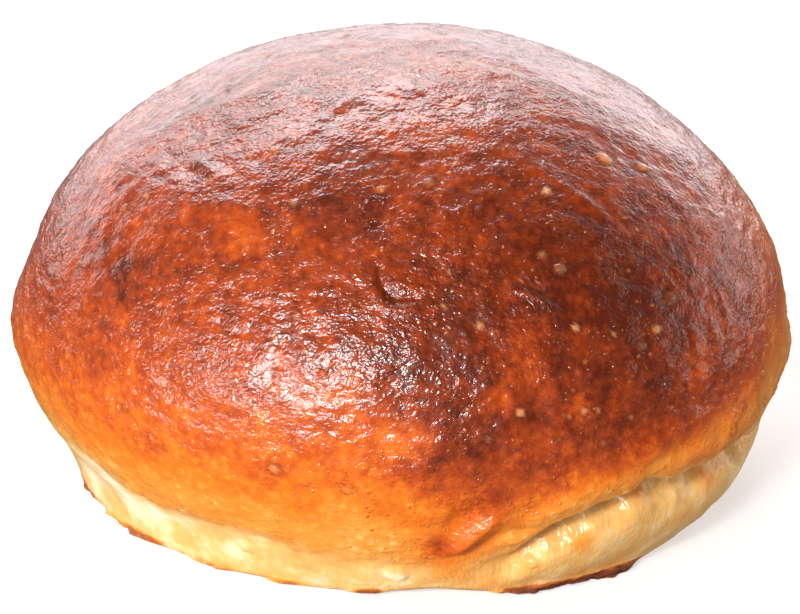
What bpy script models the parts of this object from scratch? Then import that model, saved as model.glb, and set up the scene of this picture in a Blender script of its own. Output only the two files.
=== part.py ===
"""A burger bun: one round loaf of soft dough, baked on a flat tray.

It stands on its flat underside, with the origin under its middle and +Z up. Its front, towards -Y,
shows the long crease where the crown folded over the paler side. Azimuths turn about Z from +X, so
the front is at -90 degrees, the right side at 0 and the left side at 180.
"""

import math

import bmesh
import bpy
import numpy as np

# Driving dimensions, in metres
WIDTH = 0.105  # across the widest line, side to side
HEIGHT = 0.059
BELT_HEIGHT = 0.0222  # the widest line, above the tray
FOOT_WIDTH = 0.0885  # across the flat underside
EDGE_ROUNDING = 0.0018  # where the side meets the underside

# Shape of the profile: exponents of a rounded curve, where 2 is an ellipse
CROWN_RISE = 1.85
CROWN_REACH = 2.07
SIDE_RISE = 1.42
SIDE_REACH = 1.0

# The plan's departures from a circle: lobes round it, size as a share of the radius, azimuth
PLAN_LOBES = ((2, 0.004, 3), (3, 0.013, -41), (5, 0.002, 70))

# The crease across the right of the front, in metres and degrees
CREASE_DEPTH = 0.0028
CREASE_HALF_WIDTH = 0.0030
CREASE_OPENS = (-74, -62)  # azimuths
CREASE_CLOSES = (-5, 28)
CREASE_LOW, CREASE_MIDDLE, CREASE_HIGH = 0.0065, 0.0150, 0.0180  # its heights along the way
CREASE_FIRST_CLIMB = (-74, -57)
CREASE_SECOND_CLIMB = (-28, 0)
ROLL_OUT = 0.0008  # the crown's rolled edge above the crease
LOBE_OUT = 0.0010  # the pale side's bulge below the crease
LOBE_HEIGHT = 0.0065

# The waist at the left of the front, where the side tore as the dough rose
WAIST_DEPTH = 0.0022
WAIST_HEIGHT = 0.0060
WAIST_HALF_HEIGHT = 0.0038
WAIST_OPENS = (-178, -152)
WAIST_CLOSES = (-134, -96)

# The thin lips that spread on the tray: size, height, and the azimuths that each one spans
LIP_OUT = 0.0012
LIP_HEIGHT = 0.0016
LIP_SPANS = ((-80, -48), (-156, -134))

# Mesh
CUTS = 28  # faces along each edge of the starting cube
FOOT_LATITUDE = -45  # the part of the sphere below this becomes the flat underside

CRUST_COLOUR = (0.36, 0.115, 0.030, 1)
CRUST_ROUGHNESS = 0.38


def clear_scene():
    for old in list(bpy.data.objects):
        bpy.data.objects.remove(old, do_unlink=True)


def ramp(start, end, value):
    """Rises smoothly from 0 at start to 1 at end."""
    t = np.clip((value - start) / (end - start), 0, 1)
    return t * t * (3 - 2 * t)


def bump(middle, half_width, value):
    """1 at the middle, falling to almost nothing two half widths away."""
    return np.exp(-(((value - middle) / half_width) ** 2))


def profile(latitude):
    """Radius and height of the plain turned shape, for latitudes in degrees."""
    turn = np.radians(np.clip(latitude, 0, 90))
    crown_radius = np.cos(turn) ** (2 / CROWN_REACH) * WIDTH / 2
    crown_height = BELT_HEIGHT + (HEIGHT - BELT_HEIGHT) * np.sin(turn) ** (2 / CROWN_RISE)

    drop = np.sin(np.clip(latitude / FOOT_LATITUDE, 0, 1) * math.pi / 2)
    swell = np.clip(1 - drop**SIDE_RISE, 0, 1) ** (1 / SIDE_REACH)
    side_height = BELT_HEIGHT * (1 - drop)
    depth_in_edge = np.clip(1 - side_height / EDGE_ROUNDING, 0, 1)
    tuck = EDGE_ROUNDING * (1 - np.sqrt(1 - depth_in_edge**2))
    side_radius = FOOT_WIDTH / 2 + (WIDTH - FOOT_WIDTH) / 2 * swell - tuck

    inward = np.clip((latitude - FOOT_LATITUDE) / (-90 - FOOT_LATITUDE), 0, 1)
    lower_radius = side_radius * (1 - inward)
    upper = latitude >= 0
    return np.where(upper, crown_radius, lower_radius), np.where(upper, crown_height, side_height)


def plan(azimuth):
    """The outline seen from above, as a factor on the radius."""
    factor = np.ones_like(azimuth)
    for lobes, size, towards in PLAN_LOBES:
        factor += size * np.cos(np.radians(lobes * (azimuth - towards)))
    return factor


def crease_height(azimuth):
    """The crease climbs steeply from the foot, runs level, then climbs towards the widest line."""
    first_climb = (CREASE_MIDDLE - CREASE_LOW) * ramp(*CREASE_FIRST_CLIMB, azimuth)
    second_climb = (CREASE_HIGH - CREASE_MIDDLE) * ramp(*CREASE_SECOND_CLIMB, azimuth)
    return CREASE_LOW + first_climb + second_climb


def side_relief(azimuth, height):
    """How far the side stands out, in metres: the crease with its roll and lobe, and the waist."""
    opening = ramp(*CREASE_OPENS, azimuth) * (1 - ramp(*CREASE_CLOSES, azimuth))
    crease = crease_height(azimuth)
    groove = -CREASE_DEPTH * bump(crease, CREASE_HALF_WIDTH, height)
    roll = ROLL_OUT * bump(crease + 2 * CREASE_HALF_WIDTH, 2 * CREASE_HALF_WIDTH, height)
    lobe = LOBE_OUT * bump(LOBE_HEIGHT, LOBE_HEIGHT, height) * ramp(0, CREASE_HALF_WIDTH, crease - height)

    along = ramp(*WAIST_OPENS, azimuth) * (1 - ramp(*WAIST_CLOSES, azimuth))
    waist = -WAIST_DEPTH * bump(WAIST_HEIGHT, WAIST_HALF_HEIGHT, height)
    return opening * (groove + roll + lobe) + along * waist + lips(azimuth) * bump(0, LIP_HEIGHT, height)


def lips(azimuth):
    """How far the lips spread outwards at the tray."""
    return LIP_OUT * sum(bump((start + end) / 2, (end - start) / 2, azimuth) for start, end in LIP_SPANS)


def skin(direction):
    """Points on the bun's skin for unit directions from its middle, one row for each."""
    azimuth = np.degrees(np.arctan2(direction[:, 1], direction[:, 0]))
    latitude = np.degrees(np.arcsin(np.clip(direction[:, 2], -1, 1)))
    radius, height = profile(latitude)
    share = np.clip(radius / (WIDTH / 2), 0, 1)
    on_foot = latitude < FOOT_LATITUDE
    inward = np.where(on_foot, share / (FOOT_WIDTH / WIDTH), 1)
    radius = radius * plan(azimuth) + inward * side_relief(azimuth, height)
    turn = np.radians(azimuth)
    return np.column_stack((radius * np.cos(turn), radius * np.sin(turn), height))


def round_cube():
    """A cube cut into a grid and blown up to a unit sphere with even faces."""
    mesh = bmesh.new()
    bmesh.ops.create_cube(mesh, size=2)
    bmesh.ops.subdivide_edges(mesh, edges=mesh.edges[:], cuts=CUTS - 1, use_grid_fill=True)
    for vertex in mesh.verts:
        vertex.co = [math.tan(part * math.pi / 4) for part in vertex.co]
        vertex.co.normalize()
    return mesh


def crust_material():
    material = bpy.data.materials.new("baked_crust")
    material.use_nodes = True
    shader = material.node_tree.nodes["Principled BSDF"]
    shader.inputs["Base Color"].default_value = CRUST_COLOUR
    shader.inputs["Roughness"].default_value = CRUST_ROUGHNESS
    shader.inputs["Metallic"].default_value = 0
    material.diffuse_color = CRUST_COLOUR
    return material


def centred(points):
    """The points moved so that the middle of their box is on the Z axis and the lowest is at zero."""
    low, high = points.min(axis=0), points.max(axis=0)
    return points - ((low[0] + high[0]) / 2, (low[1] + high[1]) / 2, low[2])


def make_bun():
    form = round_cube()
    directions = np.array([vertex.co for vertex in form.verts])
    for vertex, point in zip(form.verts, centred(skin(directions))):
        vertex.co = point
    bmesh.ops.recalc_face_normals(form, faces=form.faces[:])
    mesh = bpy.data.meshes.new("bun")
    form.to_mesh(mesh)
    form.free()
    mesh.shade_smooth()
    mesh.materials.append(crust_material())
    bun = bpy.data.objects.new("bun", mesh)
    bpy.context.scene.collection.objects.link(bun)


clear_scene()
make_bun()
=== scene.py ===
import math

import bmesh
import bpy
import numpy as np
from mathutils import Matrix, Vector, kdtree, noise


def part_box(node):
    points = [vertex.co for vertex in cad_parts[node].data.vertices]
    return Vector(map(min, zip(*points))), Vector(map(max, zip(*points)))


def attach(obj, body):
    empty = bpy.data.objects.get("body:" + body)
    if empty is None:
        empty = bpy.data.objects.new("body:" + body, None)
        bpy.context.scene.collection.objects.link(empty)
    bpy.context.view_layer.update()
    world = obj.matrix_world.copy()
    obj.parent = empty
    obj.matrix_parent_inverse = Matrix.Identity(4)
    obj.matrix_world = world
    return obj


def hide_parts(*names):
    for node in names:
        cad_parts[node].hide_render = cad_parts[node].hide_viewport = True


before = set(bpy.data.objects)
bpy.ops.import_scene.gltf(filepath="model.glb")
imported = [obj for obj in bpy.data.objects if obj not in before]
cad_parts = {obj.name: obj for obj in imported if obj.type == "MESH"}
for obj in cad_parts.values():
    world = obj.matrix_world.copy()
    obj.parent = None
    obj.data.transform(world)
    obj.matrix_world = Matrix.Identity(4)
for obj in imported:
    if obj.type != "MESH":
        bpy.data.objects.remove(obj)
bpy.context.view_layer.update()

BUN_LOW, BUN_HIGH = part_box("bun")

# Driving dimensions, in metres, from the CAD bun's box: its size, the height of its widest line and the
# width of its foot. Azimuths are in degrees from +X towards +Y, so the front is at -90 and its left at -180.
WIDTH = BUN_HIGH.x - BUN_LOW.x
HEIGHT = BUN_HIGH.z - BUN_LOW.z
BELT_HEIGHT = 0.376 * HEIGHT
FOOT_WIDTH = 0.843 * WIDTH
MM = 0.001

# Profile exponents, where 2 is an ellipse, and how softly the side turns in below the widest line
CROWN_RISE = 1.85
CROWN_REACH = 2.07
SIDE_RISE = 1.42
SIDE_SOFTNESS = 0.04
EDGE_ROUNDING = 1.6 * MM

# The plan's lobes: count, size as a share of the radius, azimuth
PLAN_LOBES = ((2, 0.004, 3), (3, 0.013, -41), (5, 0.002, 70))

# Mesh: faces along each edge of the starting cube, and how far it crowds towards the front
CUTS = 128
CROWDING = Vector((0, -0.30, 0.12))
FOOT_LATITUDE = -45

# Size on the unit sphere of the wobble that keeps the crease and the lips from running true
WOBBLE_SIZE = 0.035

# Azimuth in degrees and height in mm of the ragged edge where the glazed crust ends, all the way round
CRUST_EDGE = (
    (-180, 12), (-152, 13), (-143, 12), (-132, 9.5), (-113, 8.6), (-97, 7.2), (-84, 6.4), (-74, 8.8),
    (-63, 13.2), (-54, 16.0), (-38, 15.6), (-27, 17.6), (-5, 17.0), (30, 12.5), (70, 9.0), (110, 10.5),
    (145, 9.0), (180, 12),
)

# The crease: azimuth and height in mm along its bottom, and the azimuths where it opens and closes
CREASE = (
    (-84, 3.5), (-76, 5.5), (-70, 8.5), (-64, 12.4), (-61, 13.4), (-57, 13.9), (-54, 15.3), (-49, 15.2),
    (-44, 13.9), (-41, 14.0), (-38, 15.2), (-33, 14.6), (-28, 13.2), (-20, 14.0), (-8, 17.0), (20, 18.5),
)
CREASE_OPENS = (-80, -63)
CREASE_CLOSES = (-12, 18)

# Its depth, its half widths above and below its bottom, and how far pleats and wobble shift it, in mm
CREASE_DEPTH = 3.4 * MM
CREASE_UPPER_WIDTH = 1.1 * MM
CREASE_LOWER_WIDTH = 2.4 * MM
CREASE_PLEATS = 0.35
CREASE_WOBBLE = 0.3

# The roll above the crease: its rise, height above the crease and half width. The lobe below: its rise, and
# where its middle is and its half width, as shares of the crease's height.
ROLL_RISE = 1.1 * MM
ROLL_MIDDLE = 4.2 * MM
ROLL_WIDTH = 3.0 * MM
LOBE_RISE = 1.3 * MM
LOBE_MIDDLE = 0.5
LOBE_WIDTH = 0.35

# The torn waist at the front left: the azimuths where it starts and ends, its depth, height and half width
WAIST_STARTS = (-180, -152)
WAIST_ENDS = (-134, -96)
WAIST_DEPTH = 1.7 * MM
WAIST_MIDDLE = 5.5 * MM
WAIST_WIDTH = 4.5 * MM

# The thin lips on the tray: their height in mm, then azimuth, spread in mm and how dark they baked, 0 to 1
LIP_HEIGHT = 1.5
LIPS = (
    (-180, 0.3, 0.5), (-166, 0.2, 0.6), (-161, 0.8, 0.6), (-157, 0.6, 0.5), (-152, 0.3, 0.3),
    (-149, 0.9, 0.2), (-144, 0.8, 0.3), (-141, 1.3, 0.6), (-136, 0.8, 0.5), (-133, 0.3, 0.3),
    (-127, 0.4, 0.25), (-122, 1.1, 0.3), (-118, 0.3, 0.3), (-113, 0.0, 0.3), (-110, 0.8, 0.3),
    (-106, 0.3, 0.5), (-99, 0.0, 0.8), (-96, 0.5, 0.7), (-93, 0.5, 0.7), (-91, 0.0, 0.5), (-74, 0.0, 0.5),
    (-71, 0.8, 0.7), (-67, 1.4, 0.9), (-62, 1.0, 1.0), (-58, 0.9, 1.0), (-53, 1.7, 1.0), (-49, 1.6, 1.0),
    (-46, 0.4, 0.9), (-43, 0.0, 0.8), (-17, 0.0, 0.8), (-14, 1.2, 1.0), (-10, 1.0, 1.0), (-7, 0.0, 0.8),
    (24, 1.2, 0.8), (40, 0.3, 0.4), (75, 1.0, 0.3), (95, 0.1, 0.6), (120, 1.2, 0.9), (135, 0.4, 0.5),
    (160, 1.0, 0.3), (180, 0.3, 0.5),
)

# Folds and wrinkles: height and half width in mm, then azimuth and height in mm along each
FOLDS = (
    (0.50, 0.5, ((-95.6, 43.4), (-95.0, 41.6), (-93.9, 40.5), (-91.9, 40.0), (-89.1, 40.2), (-85.8, 40.9))),
    (-0.75, 0.6, ((-94.4, 43.9), (-93.9, 42.4), (-92.5, 41.4), (-90.4, 41.2), (-87.8, 41.4))),
    (0.45, 0.7, ((-73.0, 42.2), (-70.5, 41.4), (-68.3, 40.4), (-66.6, 39.2))),
    (-0.40, 0.6, ((-71.5, 42.4), (-68.5, 41.4), (-66.4, 40.2))),
    (0.35, 0.7, ((-85.6, 45.7), (-82.0, 45.0), (-79.5, 45.1))),
    (0.40, 0.9, ((-54.6, 50.0), (-52.4, 48.6), (-50.6, 46.8))),
    (0.45, 1.0, ((-143.5, 50.3), (-138.5, 50.0), (-133.0, 49.4))),
    (0.38, 0.5, ((-40.4, 35.6), (-39.0, 33.3), (-40.1, 30.4), (-41.2, 27.5))),
    (0.34, 0.5, ((-32.0, 36.0), (-31.7, 32.7), (-33.0, 30.0), (-34.9, 27.2))),
    (0.28, 0.5, ((-44.2, 35.4), (-43.7, 33.9), (-44.5, 31.7), (-45.2, 29.7))),
    (0.28, 0.5, ((-34.4, 36.4), (-35.6, 33.6), (-36.8, 31.2))),
    (-0.45, 1.7, ((-72.6, 33.0), (-71.4, 28.0), (-71.0, 23.0), (-72.0, 19.0))),
    (0.60, 1.5, ((-57.5, 21.6), (-52.5, 22.6), (-47.5, 23.6), (-42.0, 23.4))),
    (-0.45, 1.1, ((-57.0, 19.0), (-50.0, 20.3), (-44.0, 20.4))),
    (1.50, 1.0, ((-82.4, 8.6), (-81.4, 10.2), (-79.2, 12.6), (-76.2, 14.6))),
    (-0.60, 1.2, ((-83.5, 12.5), (-81.0, 15.0), (-77.5, 17.2))),
    (-0.70, 0.9, ((-84.0, 7.6), (-79.5, 8.9), (-75.5, 11.4), (-70.0, 12.2))),
)

# Broad hollows and bulges: azimuth and height in mm of the middle, half widths in degrees and mm, rise in mm
BULGES = (
    (-10, 17.0, 22, 10.0, -1.1), (-152, 27.0, 14, 7.0, -0.6), (-143, 52.0, 14, 4.0, -0.5),
    (-158, 46.5, 12, 3.0, 0.5), (-45, 12.0, 9, 5.0, 0.3), (-66, 11.0, 6, 3.0, -0.4), (70, 45.0, 30, 8.0, 0.8),
    (130, 35.0, 25, 9.0, -0.7), (175, 20.0, 25, 6.0, 0.5), (178, 31.0, 20, 6.0, -0.9),
    (-178, 52.0, 24, 4.0, -0.8), (25, 56.0, 35, 3.0, -0.5),
)

# Where the foot's edge curls up off the tray: azimuth, half width in degrees and rise
LIFTS = ((-84, 8, 0.9 * MM), (-32, 10, 0.63 * MM), (100, 14, 0.54 * MM))

# How brown the skin is at each height in mm, from 0 to 1, on the side that baked hardest and on the other
BROWNED_SIDE = (
    (0, 0.12), (6, 0.14), (12, 0.34), (16, 0.48), (19, 0.60), (23, 0.80), (27, 0.90), (35, 0.92), (43, 0.88),
    (50, 0.79), (59, 0.74),
)
PALER_SIDE = (
    (0, 0.12), (8, 0.14), (12, 0.28), (16, 0.42), (20, 0.50), (26, 0.61), (32, 0.74), (38, 0.82), (44, 0.77),
    (50, 0.82), (55, 0.84), (59, 0.78),
)

# The side that baked hardest: the azimuths where it starts, is at its full and fades out again, how many
# degrees sooner it starts on the crown, and the heights in mm over which that comes
HARD_STARTS = -98
HARD_FULL = -80
HARD_ENDS = (-45, -20)
HARD_CROWN_LEAD = 24
HARD_CROWN = (28, 42)

# Broad areas: azimuth and half width in degrees, height and half height in mm, and how much darker each
# baked, or paler where negative. The last two are the palest torn dough and the streak by the crease.
AREAS = ((-36, 16, 22, 7, -0.20), (-60, 26, 48, 7, 0.06))
PALE_TEAR = (-136, 20, 6.5, 4.5, -0.12)
STREAK = (-80, 7, 9, 6, 0.22)

# The right flank, partly paler crust and partly painted light on its dim side: azimuth and half width
# in degrees, its change, and the heights in mm where that fades
PALER_AND_PAINTED_LIT_FLANK = (0, 20)
PALER_AND_PAINTED_LIT_FLANK_CHANGE = -0.30
PALER_AND_PAINTED_LIT_FLANK_FADES = (38, 48)

# Browning of bare dough and of the crust's very edge, and how many mm above it the full brown starts
DOUGH_BROWN = 0.15
EDGE_BROWN = 0.30
EDGE_FADE = 9.5

# Patches on the crust: azimuth, height and radius in mm, and how much darker, or paler where negative
SPOTS = (
    (-103, 49.7, 5.0, 0.14), (-97, 48.4, 2.2, 0.16), (-57, 38.5, 2.2, 0.25), (-50, 38.4, 3.5, 0.15),
    (-84, 9.9, 2.2, 0.25), (-77, 17.0, 2.4, 0.16), (-80, 23.8, 2.0, 0.12), (-98, 34.0, 5.0, -0.12),
    (-139, 38.4, 1.3, 0.55), (-137, 36.4, 1.0, 0.40), (-71.4, 36.1, 2.2, -0.16), (-73.4, 33.0, 2.6, -0.14),
    (-76.5, 30.9, 2.2, -0.16), (-70.0, 31.1, 1.6, -0.16), (-64.8, 28.8, 1.2, -0.25), (-63.5, 30.5, 0.8, -0.2),
    (-90.4, 4.6, 1.5, -0.14), (-118, 5.0, 2.2, -0.12), (-141, 8.0, 2.5, -0.12), (-128, 3.5, 1.8, 0.14),
    (-106, 5.5, 1.8, 0.10), (-62, 8.5, 1.6, 0.18), (-38, 12.5, 2.0, 0.14), (-90.1, 25.7, 3.0, -0.16),
    (-133.6, 45.6, 1.6, -0.28), (-120, 45.0, 3.0, -0.12), (-59, 33.0, 3.5, -0.10), (-71, 24.0, 2.6, -0.12),
    (-46, 30.0, 3.0, -0.10), (20, 40.0, 3.0, 0.20), (55, 46.0, 4.0, 0.18), (95, 35.0, 3.0, -0.15),
    (130, 30.0, 2.5, 0.20), (165, 42.0, 3.5, 0.15),
)

# Single blisters: azimuth, height in mm, radius in mm, rise in mm, and how much paler the skin is
BLISTERS = (
    (-63.9, 43.3, 0.85, 0.42, 0.3), (-59.9, 50.0, 0.75, 0.30, 1.0), (-39.2, 51.4, 1.10, 0.34, 1.0),
    (-30.8, 49.7, 0.80, 0.28, 1.0), (-95.9, 50.8, 0.60, 0.24, 0.7), (-64.1, 37.4, 0.60, 0.24, 0.9),
    (-50.6, 35.5, 0.70, 0.26, 0.8), (-58.3, 36.1, 0.45, 0.20, 0.7), (-78.7, 38.5, 0.55, 0.20, 0.8),
    (-73.9, 28.9, 0.60, 0.20, 0.9), (-64.8, 28.2, 0.55, 0.20, 0.8), (-125.2, 52.7, 0.60, 0.26, 0.7),
    (-107.3, 29.4, 0.50, 0.24, 0.2), (-101.3, 32.9, 0.55, 0.24, 0.2), (-97.1, 18.6, 0.65, 0.40, 0.2),
    (-90.4, 4.6, 1.60, 0.35, 0.0), (-69.5, 6.0, 0.90, 0.35, 0.0), (-115.0, 5.6, 1.10, 0.35, 0.0),
)

# Blisters strewn over the crust: how many, and their smallest radius and spread of radii in mm
STREWN = 240
STREWN_RADIUS = 0.30
STREWN_SPREAD = 0.40

# Relief of the skin: the size of each kind of unevenness and how high it stands. Torn dough has its own.
SWELL_SIZE, SWELL_RISE = 24 * MM, 0.36 * MM
LUMP_SIZE, LUMP_RISE = 7 * MM, 0.20 * MM
WRINKLE_SIZE, WRINKLE_RISE = 3.4 * MM, 0.14 * MM
CRINKLE_SIZE, CRINKLE_RISE = 2.6 * MM, 0.15 * MM
GLAZE_THICKNESS = 0.15 * MM
TORN_LUMP_RISE = 0.24 * MM
FIBRE_SIZE, FIBRE_RISE = 1.9 * MM, 0.08 * MM

# Craters that the tray leaves in the underside: size and depth
CRATER_SIZE = 2.2 * MM
CRATER_DEPTH = 0.30 * MM


def ramp(start, end, value):
    """Rises smoothly from 0 at start to 1 at end."""
    t = np.clip((value - start) / (end - start), 0, 1)
    return t * t * (3 - 2 * t)


def bump(middle, half_width, value):
    """1 at the middle, falling to almost nothing two half widths away."""
    return np.exp(-(((value - middle) / half_width) ** 2))


def along(table, column, place):
    """A column of a table whose first column is an azimuth or a height."""
    rows = np.array(table, float)
    return np.interp(place, rows[:, 0], rows[:, column])


def clouds(points, size, depth=1, seed=0.0, squash=1.0):
    """Noise from about -1 to 1 whose features measure size, in metres, and size / squash upwards."""
    shift = Vector((seed * 17.3, seed * 5.1, seed * 9.7))
    scale = (1 / size, 1 / size, squash / size)
    scaled = points * np.array(scale)
    return np.array([noise.fractal(Vector(p) + shift, 1.0, 2.1, depth) for p in scaled])


# ---------------------------------------------------------------- form

def profile(latitude):
    """Radius and height of the plain turned shape, for latitudes in degrees."""
    turn = np.radians(np.clip(latitude, 0, 90))
    crown_radius = np.cos(turn) ** (2 / CROWN_REACH) * WIDTH / 2
    crown_height = BELT_HEIGHT + (HEIGHT - BELT_HEIGHT) * np.sin(turn) ** (2 / CROWN_RISE)

    drop = np.sin(np.clip(latitude / FOOT_LATITUDE, 0, 1) * math.pi / 2)
    side_height = BELT_HEIGHT * (1 - drop)
    in_edge = np.clip(1 - side_height / EDGE_ROUNDING, 0, 1)
    tuck = EDGE_ROUNDING * (1 - np.sqrt(1 - in_edge**2))
    inset = drop**2 / (drop**2 + SIDE_SOFTNESS) ** (1 - SIDE_RISE / 2)
    side_radius = FOOT_WIDTH / 2 + (WIDTH - FOOT_WIDTH) / 2 * np.clip(1 - inset, 0, 1) - tuck

    inward = np.clip((latitude - FOOT_LATITUDE) / (-90 - FOOT_LATITUDE), 0, 1)
    upper = latitude >= 0
    radius = np.where(upper, crown_radius, side_radius * (1 - inward))
    return radius, np.where(upper, crown_height, side_height)


def turned_from(middle, azimuth):
    """How many degrees each azimuth is turned from a middle one, from -180 to 180."""
    return (azimuth - middle + 180) % 360 - 180


def crease_relief(azimuth, height, wobble):
    """The crease, the roll above it and the lobe below."""
    pleats = np.sin(np.radians(azimuth * 31)) + np.sin(np.radians(azimuth * 47 + 40))
    crease = (along(CREASE, 1, azimuth) + CREASE_WOBBLE * wobble + CREASE_PLEATS * pleats) * MM
    above = height - crease
    width = np.where(above > 0, CREASE_UPPER_WIDTH, CREASE_LOWER_WIDTH)
    groove = -CREASE_DEPTH * bump(0, width, above)
    roll = ROLL_RISE * bump(ROLL_MIDDLE, ROLL_WIDTH, above)
    lobe = LOBE_RISE * bump(LOBE_MIDDLE, LOBE_WIDTH, height / crease) * (above < 0)
    return ramp(*CREASE_OPENS, azimuth) * (1 - ramp(*CREASE_CLOSES, azimuth)) * (groove + roll + lobe)


def side_relief(azimuth, height, wobble):
    """How far the side stands out: the crease with its roll and lobe, the torn waist and the lips."""
    waist_span = ramp(*WAIST_STARTS, azimuth) * (1 - ramp(*WAIST_ENDS, azimuth))
    waist = -WAIST_DEPTH * waist_span * bump(WAIST_MIDDLE, WAIST_WIDTH, height)
    spread = along(LIPS, 1, azimuth + 1.5 * wobble) * (1 + 0.6 * wobble) * MM
    lip = spread * (1 - ramp(0.2 * MM, (LIP_HEIGHT + 0.5 * wobble) * MM, height))
    return crease_relief(azimuth, height, wobble) + waist + lip


def skin(direction):
    """Points on the bun's skin for unit directions, with the azimuth, latitude and height of each."""
    azimuth = np.degrees(np.arctan2(direction[:, 1], direction[:, 0]))
    latitude = np.degrees(np.arcsin(np.clip(direction[:, 2], -1, 1)))
    radius, height = profile(latitude)
    plan = 1
    for lobes, size, towards in PLAN_LOBES:
        plan = plan + size * np.cos(np.radians(lobes * (azimuth - towards)))
    wobble = clouds(direction, WOBBLE_SIZE, 3, 4)
    inward = np.clip((latitude + 90) / (FOOT_LATITUDE + 90), 0, 1)
    radius = radius * plan + inward * side_relief(azimuth, height, wobble)
    turn = np.radians(azimuth)
    points = np.column_stack((radius * np.cos(turn), radius * np.sin(turn), height))
    return points, azimuth, latitude


def round_cube():
    """A cube cut into a grid and blown up to a unit sphere, its faces crowded towards the front."""
    mesh = bmesh.new()
    bmesh.ops.create_cube(mesh, size=2)
    bmesh.ops.subdivide_edges(mesh, edges=mesh.edges[:], cuts=CUTS - 1, use_grid_fill=True)
    for vertex in mesh.verts:
        even = Vector([math.tan(part * math.pi / 4) for part in vertex.co]).normalized()
        vertex.co = (even + CROWDING).normalized()
    return mesh


def place(azimuth, height):
    """The point of the plain form at an azimuth and a height in mm, above the widest line or below it."""
    share = (height * MM - BELT_HEIGHT) / (HEIGHT - BELT_HEIGHT)
    if share >= 0:
        latitude = math.degrees(math.asin(min(share, 1) ** (CROWN_RISE / 2)))
    else:
        latitude = FOOT_LATITUDE * math.asin(1 - height * MM / BELT_HEIGHT) / (math.pi / 2)
    turn, tilt = math.radians(azimuth), math.radians(latitude)
    direction = (math.cos(tilt) * math.cos(turn), math.cos(tilt) * math.sin(turn), math.sin(tilt))
    return skin(np.array([direction]))[0][0]


# ---------------------------------------------------------------- relief

def distance_to_line(points, line):
    """Distance from each point to a broken line, and how far along the line the nearest place is, 0 to 1."""
    nearest = np.full(len(points), 1e9)
    progress = np.zeros(len(points))
    spans = len(line) - 1
    for i in range(spans):
        start, step = line[i], line[i + 1] - line[i]
        t = np.clip((points - start) @ step / (step @ step), 0, 1)
        gap = np.linalg.norm(points - start - t[:, None] * step, axis=1)
        closer = gap < nearest
        nearest[closer] = gap[closer]
        progress[closer] = (i + t[closer]) / spans
    return nearest, progress


def fold_relief(points):
    """Ridges, and grooves where the height is negative, thinning out towards their ends."""
    relief = np.zeros(len(points))
    for height, half_width, route in FOLDS:
        line = np.array([place(*stop) for stop in route])
        reach = 3 * half_width * MM
        low, high = line.min(axis=0) - reach, line.max(axis=0) + reach
        near = np.flatnonzero(((points > low) & (points < high)).all(axis=1))
        gap, progress = distance_to_line(points[near], line)
        taper = np.sin(np.pi * np.clip(0.08 + 0.84 * progress, 0, 1)) ** 0.6
        relief[near] += height * MM * taper * bump(0, half_width * MM, gap)
    return relief


def bulges(azimuth, height):
    """The broad hollows and bulges."""
    rise = np.zeros(len(azimuth))
    for middle, level, wide, tall, size in BULGES:
        rise += size * MM * bump(0, wide, turned_from(middle, azimuth)) * bump(level, tall, height / MM)
    return rise


def strewn_blisters(points, latitude):
    """Small blisters strewn over the crust, as rows of place, radius, rise and paleness."""
    chance = np.random.default_rng(7)
    crown = np.flatnonzero(latitude > -4)
    rows = []
    for index in chance.choice(crown, STREWN, replace=False):
        radius = (STREWN_RADIUS + STREWN_SPREAD * chance.random() ** 3) * MM
        paleness = 0.9 * chance.random() ** 3
        rise = (0.25 + 0.2 * chance.random()) * radius
        rows.append((points[index], radius, rise, paleness))
    return rows


def blister_relief(points, latitude):
    """The blisters' relief, how pale their skin is, and the shade painted in a ring round each."""
    rows = strewn_blisters(points, latitude)
    for azimuth, height, radius, rise, pale in BLISTERS:
        rows.append((place(azimuth, height), radius * MM, rise * MM, pale))
    tree = kdtree.KDTree(len(points))
    for index, point in enumerate(points):
        tree.insert(point, index)
    tree.balance()
    relief, paleness, painted_ring_shade = (np.zeros(len(points)) for _ in range(3))
    for centre, radius, rise, pale in rows:
        found = tree.find_range(centre, 2.2 * radius)
        index = np.array([hit[1] for hit in found], int)
        away = np.array([hit[2] for hit in found]) / radius
        relief[index] += rise * (np.clip(1 - away**2, 0, 1) ** 0.5 - 0.35 * bump(1.25, 0.3, away))
        paleness[index] = np.maximum(paleness[index], pale * (1 - ramp(0.6, 1.1, away)))
        # The dark ring round each blister is painted shade in the hollow round it
        painted_ring_shade[index] = np.maximum(painted_ring_shade[index], bump(1.2, 0.35, away))
    return relief, paleness, painted_ring_shade


def above_crust_edge(points, azimuth):
    """Each point's height above the ragged edge of the glazed crust."""
    ragged = 1.1 * clouds(points, 9 * MM, 3, 1) + 0.5 * clouds(points, 1.8 * MM, 2, 2)
    return points[:, 2] - (along(CRUST_EDGE, 1, azimuth) + ragged) * MM


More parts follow.
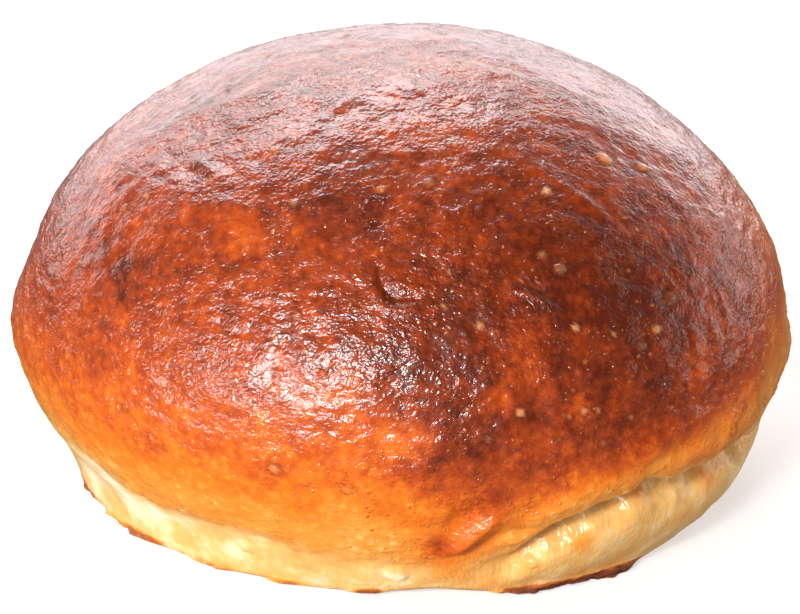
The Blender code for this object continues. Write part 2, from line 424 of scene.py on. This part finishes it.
def surface(points, azimuth, latitude):
    """The relief on the plain form and the fields that colour it, each with one value for each point."""
    height = points[:, 2]
    above = above_crust_edge(points, azimuth)
    crust = ramp(-0.8 * MM, 1.2 * MM, above)
    under = 1 - ramp(FOOT_LATITUDE - 3, FOOT_LATITUDE + 0.5, latitude)

    swells = clouds(points, SWELL_SIZE, 2, 3)
    lumps = clouds(points, LUMP_SIZE, 2, 5)
    crinkle = clouds(points, CRINKLE_SIZE, 3, 6, 1.5)
    wrinkles = 1 - np.abs(clouds(points, WRINKLE_SIZE, 3, 7, 1.3))
    fibres = clouds(points * (1, 1, 0.35), FIBRE_SIZE, 3, 8)
    blisters, paleness, painted_ring_shade = blister_relief(points, latitude)

    glazed = SWELL_RISE * swells + LUMP_RISE * lumps + CRINKLE_RISE * crinkle + WRINKLE_RISE * wrinkles**3
    torn = FIBRE_RISE * fibres + TORN_LUMP_RISE * lumps
    relief = crust * (glazed + fold_relief(points)) + (1 - crust) * torn
    relief += GLAZE_THICKNESS * crust + blisters + bulges(azimuth, height)
    foot = ramp(0, 2.5 * MM, height)
    craters = -CRATER_DEPTH * np.clip(clouds(points, CRATER_SIZE, 3, 9) + 0.1, 0, 1)
    relief = (1 - under) * relief * (0.25 + 0.75 * foot) + under * craters
    return relief, {
        "bake_and_painted_light": baking_and_painted_light(points, azimuth, above, swells),
        "crust": crust,
        "under": under,
        "pale_skin": paleness * crust,
        "painted_ring_shade": painted_ring_shade * crust,
        "burn": burning(points, azimuth),
    }


def area(azimuth, height, middle, wide, level, tall, change):
    """A change that is at its full in the middle of an area and fades out round it."""
    return change * bump(middle, wide, azimuth) * bump(level, tall, height)


def baking_and_painted_light(points, azimuth, above, swells):
    """How brown the skin is, from 0 for raw dough to 1 for the darkest crust, with painted light on the right
    flank.
    """
    height = points[:, 2] / MM
    paler = along(PALER_SIDE, 1, height)
    start = HARD_STARTS - HARD_CROWN_LEAD * ramp(*HARD_CROWN, height)
    hardest = ramp(start, HARD_FULL, azimuth + 5 * swells) * (1 - ramp(*HARD_ENDS, azimuth))
    brown = paler + (along(BROWNED_SIDE, 1, height) - paler) * hardest
    # The right flank is lightened, partly for paler crust and partly as painted light
    brown += PALER_AND_PAINTED_LIT_FLANK_CHANGE * bump(*PALER_AND_PAINTED_LIT_FLANK, azimuth) * (1 - ramp(*PALER_AND_PAINTED_LIT_FLANK_FADES, height))
    for row in AREAS:
        brown += area(azimuth, height, *row)
    brown = EDGE_BROWN + (brown - EDGE_BROWN) * ramp(0, EDGE_FADE * MM, above)

    dough = DOUGH_BROWN + 0.06 * clouds(points, 6 * MM, 3, 11) + area(azimuth, height, *PALE_TEAR)
    brown = dough + (brown - dough) * ramp(-2.2 * MM, 2.6 * MM, above)
    streak = area(azimuth, height, *STREAK)
    return np.clip(brown + 0.05 * swells + streak + spots(points), 0, 1.02)


def spots(points):
    """Patches that baked darker or paler than the crust round them."""
    drift = clouds(points, 5 * MM, 2, 13)
    change = 0.06 * drift
    for azimuth, height, radius, darker in SPOTS:
        gap = np.linalg.norm(points - place(azimuth, height), axis=1)
        change += darker * bump(0, radius, gap / MM + 0.7 * radius * drift)
    return change


def reach_of_foot(points):
    """How far each point is from the middle, where 1 is the foot's edge."""
    return np.hypot(points[:, 0], points[:, 1]) / (FOOT_WIDTH / 2)


def burning(points, azimuth):
    """Where thin edges on the tray baked to caramel."""
    near_tray = 1 - ramp(0.7 * MM, 1.8 * MM, points[:, 2])
    near_edge = ramp(0.88, 0.98, reach_of_foot(points) + 0.04 * clouds(points, 4 * MM, 2, 15))
    spread = ramp(0.15, 0.6, along(LIPS, 1, azimuth))
    return near_tray * near_edge * spread * along(LIPS, 2, azimuth)


def lifted_foot(points, azimuth):
    """How far the foot's edge curls up off the tray."""
    lift = sum(rise * bump(middle, wide, azimuth) for middle, wide, rise in LIFTS)
    return lift * ramp(0.80, 0.99, reach_of_foot(points)) * (1 - ramp(0, 5 * MM, points[:, 2]))


def mesh_normals(mesh):
    """The mesh's normals, one row for each point."""
    normals = np.empty(len(mesh.vertices) * 3, np.float32)
    mesh.vertex_normals.foreach_get("vector", normals)
    return normals.reshape(-1, 3).astype(float)


def fitted(points):
    """The points stretched a hair so that their box is the CAD bun's box."""
    low, high = points.min(axis=0), points.max(axis=0)
    return np.array(BUN_LOW) + (points - low) / (high - low) * np.array(BUN_HIGH - BUN_LOW)


def make_bun():
    """The bun's whole skin as one closed mesh, carrying the fields that colour it."""
    form = round_cube()
    points, azimuth, latitude = skin(np.array([vertex.co for vertex in form.verts]))
    points = fitted(points)
    bmesh.ops.recalc_face_normals(form, faces=form.faces[:])
    mesh = bpy.data.meshes.new("bun_skin")
    form.to_mesh(mesh)
    form.free()
    mesh.vertices.foreach_set("co", points.astype(np.float32).ravel())
    mesh.update()

    relief, fields = surface(points, azimuth, latitude)
    raised = points + mesh_normals(mesh) * relief[:, None]
    raised[:, 2] = np.maximum(raised[:, 2], 0) + lifted_foot(points, azimuth)
    mesh.vertices.foreach_set("co", raised.astype(np.float32).ravel())
    mesh.update()
    mesh.shade_smooth()
    for name, values in fields.items():
        layer = mesh.attributes.new(name, "FLOAT", "POINT")
        layer.data.foreach_set("value", values.astype(np.float32))
    bun = bpy.data.objects.new("bun_skin", mesh)
    bpy.context.scene.collection.objects.link(bun)
    return bun


# ---------------------------------------------------------------- material

def linear(red, green, blue):
    """A screen colour from 0 to 255 as the linear colour that a shader takes."""
    shares = [part / 255 for part in (red, green, blue)]
    return [s / 12.92 if s <= 0.04045 else ((s + 0.055) / 1.055) ** 2.4 for s in shares] + [1]


class Nodes:
    """Adds nodes to a material, each linked to what feeds it."""

    def __init__(self, material):
        material.use_nodes = True
        self.tree = material.node_tree
        self.shader = self.tree.nodes["Principled BSDF"]
        self.place = self.tree.nodes.new("ShaderNodeTexCoord").outputs["Object"]

    def set(self, socket, value):
        if isinstance(value, bpy.types.NodeSocket):
            self.tree.links.new(value, socket)
        else:
            socket.default_value = value

    def field(self, name):
        node = self.tree.nodes.new("ShaderNodeAttribute")
        node.attribute_name = name
        return node.outputs["Fac"]

    def on_crust(self, value):
        return self.sum("MULTIPLY", value, self.field("crust"))

    def sum(self, operation, first, second=0.0, third=0.0):
        node = self.tree.nodes.new("ShaderNodeMath")
        node.operation = operation
        for socket, value in zip(node.inputs, (first, second, third)):
            self.set(socket, value)
        return node.outputs[0]

    def stretched(self, scale):
        node = self.tree.nodes.new("ShaderNodeMapping")
        self.set(node.inputs["Vector"], self.place)
        node.inputs["Scale"].default_value = scale
        return node.outputs["Vector"]

    def noise(self, size, detail=2.0, where=None, twist=0.0):
        node = self.tree.nodes.new("ShaderNodeTexNoise")
        self.set(node.inputs["Vector"], where or self.place)
        node.inputs["Scale"].default_value = 1 / size
        node.inputs["Detail"].default_value = detail
        node.inputs["Distortion"].default_value = twist
        return node.outputs["Fac"]

    def cells(self, size):
        node = self.tree.nodes.new("ShaderNodeTexVoronoi")
        self.set(node.inputs["Vector"], self.place)
        node.inputs["Scale"].default_value = 1 / size
        return node.outputs["Distance"]

    def remap(self, value, low, high, to_low=0.0, to_high=1.0):
        node = self.tree.nodes.new("ShaderNodeMapRange")
        for socket, part in zip(node.inputs, (value, low, high, to_low, to_high)):
            self.set(socket, part)
        return node.outputs["Result"]

    def mix(self, share, first, second):
        node = self.tree.nodes.new("ShaderNodeMix")
        node.data_type = "RGBA"
        self.set(node.inputs["Factor"], share)
        self.set(node.inputs["A"], first)
        self.set(node.inputs["B"], second)
        return next(out for out in node.outputs if out.type == "RGBA")

    def gradient(self, value, stops):
        node = self.tree.nodes.new("ShaderNodeValToRGB")
        ramp_stops = node.color_ramp.elements
        while len(ramp_stops) < len(stops):
            ramp_stops.new(1)
        for element, (position, colour) in zip(ramp_stops, stops):
            element.position = position
            element.color = linear(*colour)
        self.set(node.inputs["Fac"], value)
        return node.outputs["Color"]


# Screen colours from 0 to 255: of dough as it browns, of the blotches underneath and of a lip as it burns
BAKING_COLOURS = (
    (0.00, (222, 202, 168)),
    (0.14, (200, 156, 90)),
    (0.28, (194, 122, 42)),
    (0.42, (190, 96, 12)),
    (0.56, (164, 68, 8)),
    (0.70, (138, 50, 8)),
    (0.84, (110, 37, 6)),
    (1.00, (76, 23, 5)),
)
TRAY_COLOURS = ((0.30, (214, 140, 70)), (0.52, (178, 98, 44)), (0.72, (120, 58, 28)))
CARAMEL_COLOURS = ((0.15, (206, 132, 50)), (0.45, (150, 78, 22)), (0.85, (92, 42, 20)))
BLISTER_COLOUR = (214, 146, 92)
# Painted shade in the ring round each blister
RING_SHADE_COLOUR = (78, 28, 14)
# Painted shade in the pinholes
PINHOLE_SHADE_COLOUR = (62, 22, 12)
FLECK_COLOUR = (190, 104, 36)
BEAD_COLOUR = (196, 112, 52)

# Sizes of what is too fine for the mesh, and how high it stands
MOTTLE_SIZE = 3.4 * MM
FINE_MOTTLE_SIZE = 1.1 * MM
FLECK_SIZE = 2.0 * MM
BUBBLE_SIZE = 1.5 * MM
BEAD_SIZE = 1.0 * MM
FINE_CRINKLE_SIZE = 1.3 * MM
GRAIN_SIZE = 0.55 * MM
FINE_FIBRE_SIZE = 0.5 * MM
FINE_HEIGHT = 0.15 * MM


def flecks(nodes):
    """Small patches where a bubble dried pale, from 0 to 1."""
    dots = nodes.remap(nodes.cells(FLECK_SIZE), 0.05, 0.19, 1.0, 0.0)
    return nodes.sum("MULTIPLY", dots, nodes.remap(nodes.noise(2.6 * MM, 1), 0.46, 0.58))


def bubbles(nodes):
    """Tiny round swellings all over the crust, larger in some places than in others, from 0 to 1."""
    crowded = nodes.remap(nodes.noise(5 * MM, 2), 0.35, 0.65, 0.15, 1.0)
    return nodes.sum("MULTIPLY", nodes.remap(nodes.cells(BUBBLE_SIZE), 0.05, 0.50, 1.0, 0.0), crowded)


def beads(nodes):
    """Pinhead bubbles in scattered groups, from 0 to 1."""
    groups = nodes.remap(nodes.noise(3.0 * MM, 3), 0.47, 0.60)
    return nodes.sum("MULTIPLY", nodes.remap(nodes.cells(BEAD_SIZE), 0.10, 0.22, 1.0, 0.0), groups)


def mottled_baking_and_painted_light(nodes):
    """The browning field, with painted light on the right flank, broken up by mottling, which is stronger
    where the crust is browner.
    """
    bake_and_painted_light = nodes.field("bake_and_painted_light")
    mottle = nodes.sum("SUBTRACT", nodes.noise(MOTTLE_SIZE, 2), 0.5)
    fine = nodes.sum("SUBTRACT", nodes.noise(FINE_MOTTLE_SIZE, 2, twist=0.3), 0.5)
    brown = nodes.sum("MULTIPLY_ADD", mottle, nodes.remap(bake_and_painted_light, 0.35, 0.75, 0.12, 0.38), bake_and_painted_light)
    brown = nodes.sum("MULTIPLY_ADD", fine, nodes.remap(bake_and_painted_light, 0.35, 0.75, 0.12, 0.50), brown)
    return nodes.sum("MULTIPLY_ADD", nodes.on_crust(bubbles(nodes)), -0.14, brown)


def crust_colour(nodes):
    """The browned skin with blisters, flecks, beads and painted shade, the underside and the burnt lips."""
    brown = mottled_baking_and_painted_light(nodes)
    # Dark dots painted into the pinholes as their shade
    pinhole_shade = nodes.remap(nodes.cells(BUBBLE_SIZE), 0.05, 0.17, 0.55, 0.0)
    pinhole_shade = nodes.sum("MULTIPLY", pinhole_shade, nodes.remap(brown, 0.4, 0.7))
    layers = (
        (nodes.sum("MULTIPLY", nodes.field("pale_skin"), 0.65), BLISTER_COLOUR),
        # Painted shade round each blister
        (nodes.sum("MULTIPLY", nodes.field("painted_ring_shade"), 0.45), RING_SHADE_COLOUR),
        (nodes.on_crust(pinhole_shade), PINHOLE_SHADE_COLOUR),
        (nodes.sum("MULTIPLY", nodes.on_crust(flecks(nodes)), 0.45), FLECK_COLOUR),
        (nodes.sum("MULTIPLY", nodes.on_crust(beads(nodes)), 0.30), BEAD_COLOUR),
    )
    colour = nodes.gradient(brown, BAKING_COLOURS)
    for share, tint in layers:
        colour = nodes.mix(share, colour, linear(*tint))
    colour = nodes.mix(nodes.field("under"), colour, nodes.gradient(nodes.noise(4 * MM, 4), TRAY_COLOURS))
    burn = nodes.field("burn")
    return nodes.mix(nodes.remap(burn, 0.05, 0.30), colour, nodes.gradient(burn, CARAMEL_COLOURS))


def crust_bump(nodes):
    """Crinkles, bubbles, pinholes and fibres too fine for the mesh, as a bumped normal."""
    flattened = nodes.stretched((1, 1, 1.3))
    crinkle = nodes.noise(FINE_CRINKLE_SIZE, 2, flattened, 0.8)
    grain = nodes.noise(GRAIN_SIZE, 1, flattened, 0.4)
    roughened = nodes.remap(nodes.noise(7 * MM, 2), 0.38, 0.62, 0.35, 1.25)
    pinholes = nodes.remap(nodes.cells(BUBBLE_SIZE), 0.0, 0.16, -1.0, 0.0)
    glazed = nodes.sum("MULTIPLY_ADD", grain, roughened, crinkle)
    for feature, rise in ((flecks(nodes), 1.0), (pinholes, 0.4), (bubbles(nodes), 0.6), (beads(nodes), 0.8)):
        glazed = nodes.sum("MULTIPLY_ADD", feature, rise, glazed)
    fibres = nodes.noise(FINE_FIBRE_SIZE, 3, nodes.stretched((1, 1, 0.25)))
    bare = nodes.sum("SUBTRACT", 1.0, nodes.field("crust"))
    node = nodes.tree.nodes.new("ShaderNodeBump")
    node.inputs["Strength"].default_value = 1.0
    node.inputs["Distance"].default_value = FINE_HEIGHT
    nodes.set(node.inputs["Height"], nodes.sum("MULTIPLY_ADD", fibres, bare, nodes.on_crust(glazed)))
    return node.outputs["Normal"]


def crust_roughness(nodes):
    """Glossy where the skin is glazed and dull on bare dough, both in patches."""
    patchy = nodes.noise(3 * MM, 3)
    node = nodes.tree.nodes.new("ShaderNodeMix")
    nodes.set(node.inputs["Factor"], nodes.field("crust"))
    nodes.set(node.inputs["A"], nodes.remap(patchy, 0.3, 0.7, 0.62, 0.75))
    nodes.set(node.inputs["B"], nodes.remap(patchy, 0.3, 0.7, 0.34, 0.46))
    return node.outputs["Result"]


def bun_material():
    """Baked dough under an egg glaze, which is the clear coat."""
    material = bpy.data.materials.new("baked_crust")
    nodes = Nodes(material)
    shader = nodes.shader.inputs
    normal = crust_bump(nodes)
    nodes.set(shader["Base Color"], crust_colour(nodes))
    nodes.set(shader["Roughness"], crust_roughness(nodes))
    nodes.set(shader["Normal"], normal)
    nodes.set(shader["Coat Normal"], normal)
    shader["IOR"].default_value = 1.43
    shader["Specular IOR Level"].default_value = 0.28
    shader["Coat Weight"].default_value = 0.6
    shader["Coat Roughness"].default_value = 0.13
    shader["Subsurface Weight"].default_value = 0.08
    shader["Subsurface Radius"].default_value = (1.0, 0.45, 0.2)
    shader["Subsurface Scale"].default_value = 2.5 * MM
    return material


# ---------------------------------------------------------------- studio

# The camera: degrees above level, metres from the bun, lens in mm, degrees of roll, and where it aims
CAMERA_ELEVATION = 22
CAMERA_DISTANCE = 0.42
CAMERA_LENS = 137.6
CAMERA_ROLL = 1.46
BUN_MIDDLE = Vector((0, 0, 0.45 * HEIGHT))
AIM = Vector((-0.0007, 0.0, 0.0217))

# Strength of the even light, and the floor's size in metres, gap below the bun, grey and glow
WORLD_LIGHT = 0.07
FLOOR_SIZE = 6
FLOOR_GAP = 0.02 * MM
FLOOR_GREY = 0.42
FLOOR_GLOW = 0.52


def make_camera():
    """At the front, looking down a little."""
    data = bpy.data.cameras.new("camera")
    data.lens = CAMERA_LENS
    data.sensor_width = 36
    data.clip_start = 0.01
    camera = bpy.data.objects.new("camera", data)
    tilt = math.radians(CAMERA_ELEVATION)
    back = Vector((0, -math.cos(tilt), math.sin(tilt)))
    camera.location = BUN_MIDDLE + back * CAMERA_DISTANCE
    facing = (AIM - camera.location).to_track_quat("-Z", "Y").to_matrix()
    roll = Matrix.Rotation(math.radians(CAMERA_ROLL), 3, "Z")
    camera.rotation_euler = (facing @ roll).to_euler()
    bpy.context.scene.collection.objects.link(camera)
    bpy.context.scene.camera = camera


def make_softbox(name, azimuth, elevation, distance, size, radiance, colour=(1, 1, 1)):
    """A soft panel that faces the bun, as wide and as tall as size in metres."""
    data = bpy.data.lights.new(name, "AREA")
    data.shape = "RECTANGLE"
    data.size, data.size_y = size
    data.energy = radiance * math.pi * size[0] * size[1]
    data.color = colour
    light = bpy.data.objects.new(name, data)
    turn, tilt = math.radians(azimuth), math.radians(elevation)
    towards = Vector((math.cos(tilt) * math.cos(turn), math.cos(tilt) * math.sin(turn), math.sin(tilt)))
    light.location = towards * distance + Vector((0, 0, HEIGHT / 2))
    light.rotation_euler = towards.to_track_quat("Z", "Y").to_euler()
    bpy.context.scene.collection.objects.link(light)
    return light


def make_world():
    """A faint even light from all round."""
    world = bpy.data.worlds.new("studio")
    world.use_nodes = True
    background = world.node_tree.nodes["Background"]
    background.inputs["Color"].default_value = (1, 1, 1, 1)
    background.inputs["Strength"].default_value = WORLD_LIGHT
    bpy.context.scene.world = world


def make_floor():
    """A plain pale floor that glows enough to look white and doesn't show in the glaze."""
    bpy.ops.mesh.primitive_plane_add(size=FLOOR_SIZE, location=(0, 0, -FLOOR_GAP))
    floor = bpy.context.object
    floor.name = "floor"
    material = bpy.data.materials.new("white_floor")
    material.use_nodes = True
    shader = material.node_tree.nodes["Principled BSDF"].inputs
    shader["Base Color"].default_value = (FLOOR_GREY, FLOOR_GREY, FLOOR_GREY, 1)
    shader["Roughness"].default_value = 0.9
    shader["Emission Color"].default_value = (1, 1, 1, 1)
    shader["Emission Strength"].default_value = FLOOR_GLOW
    floor.data.materials.append(material)
    floor.visible_glossy = False


make_camera()
make_world()
make_floor()

# Each panel: azimuth and degrees above level, metres away, width and height in metres, radiance and colour
make_softbox("window", -118, 21, 0.9, (0.36, 0.36), 22)
make_softbox("bulb", -108, 28, 0.9, (0.14, 0.10), 135)
make_softbox("low_panel", -146, 7, 0.9, (0.26, 0.16), 20)
make_softbox("top_light", 107, 46, 1.0, (0.80, 0.32), 10.5, (1.0, 0.96, 0.98))
make_softbox("right_panel", 48, 24, 0.9, (0.90, 0.70), 0.7, (1.0, 0.93, 0.93))
make_softbox("right_low", 20, 7, 0.9, (0.80, 0.20), 2.2, (1.0, 0.88, 0.82))
# This one lightens the shaded side and doesn't show in the glaze
rim_fill = make_softbox("rim_fill", 20, 12, 0.9, (0.70, 0.40), 5.0, (1.0, 0.94, 0.88))
rim_fill.visible_glossy = False
make_softbox("backdrop", 106, 14, 1.3, (3.0, 0.80), 2.6, (1.0, 0.95, 0.97))
bpy.context.scene.view_settings.view_transform = "Standard"

bun = make_bun()
bun.data.materials.append(bun_material())
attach(bun, "root")
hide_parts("bun")
